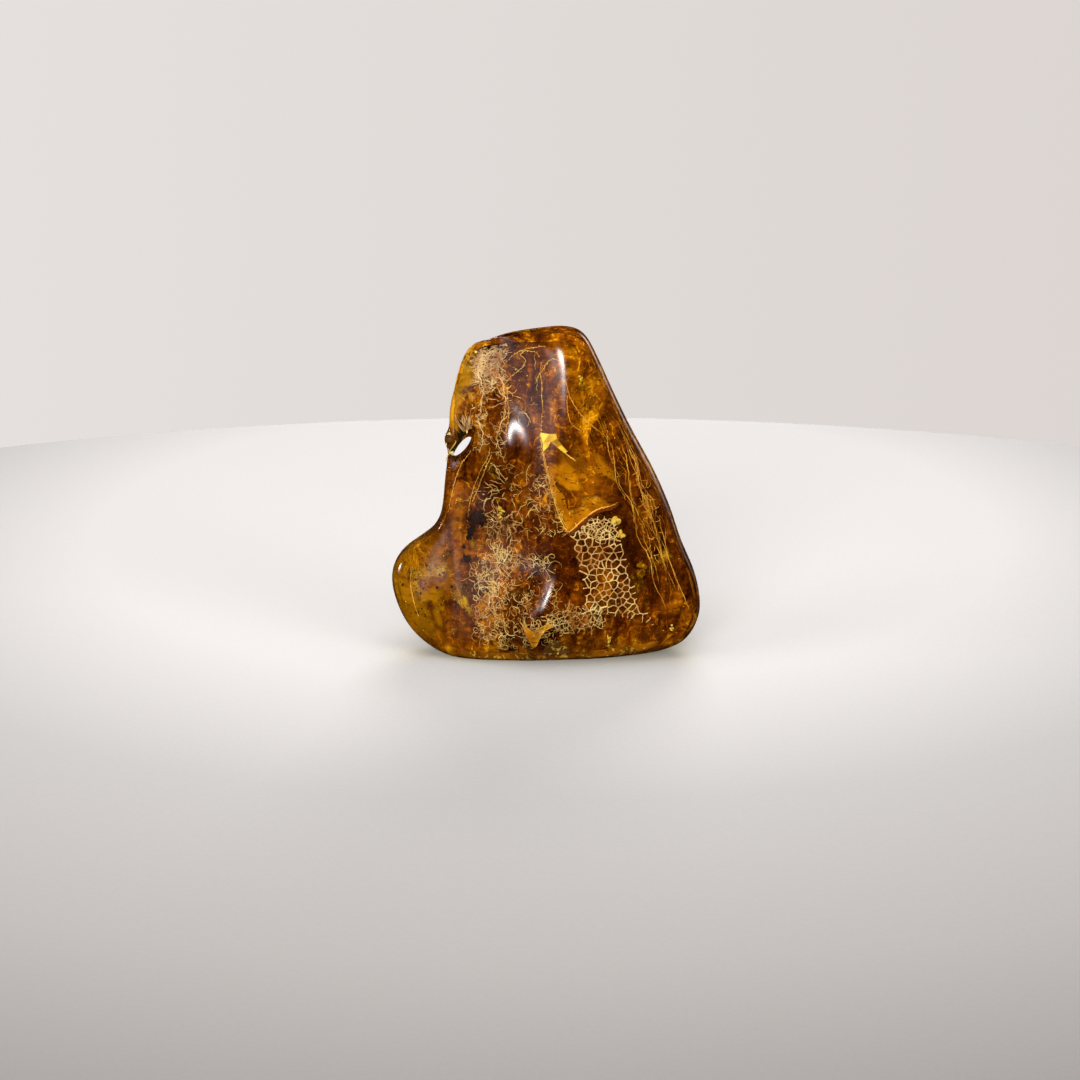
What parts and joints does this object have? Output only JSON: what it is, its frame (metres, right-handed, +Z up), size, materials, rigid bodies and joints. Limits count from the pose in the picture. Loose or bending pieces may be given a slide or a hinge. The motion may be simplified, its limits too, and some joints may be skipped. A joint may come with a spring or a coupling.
{
  "type": "polished amber pebble",
  "caption": "Polished amber pebble: one clear tapering stone with a rounded side lobe and a small hole near one edge, standing on a small flat spot.",
  "frame": {"origin": "under the middle of the stone, on the surface that it stands on", "axes": "+Z up along the stone's longest way, +X to the viewer's right with the lobe at -X, +Y through its thickness, away from the viewer"},
  "size_m": [0.0456, 0.0204, 0.0495],
  "materials": {
    "amber": "polished clear golden-brown amber with pale vein nets, bubbles and dark specks inside"
  },
  "bodies": {
    "root": {"amber_pebble": "amber"}
  },
  "joints": []
}
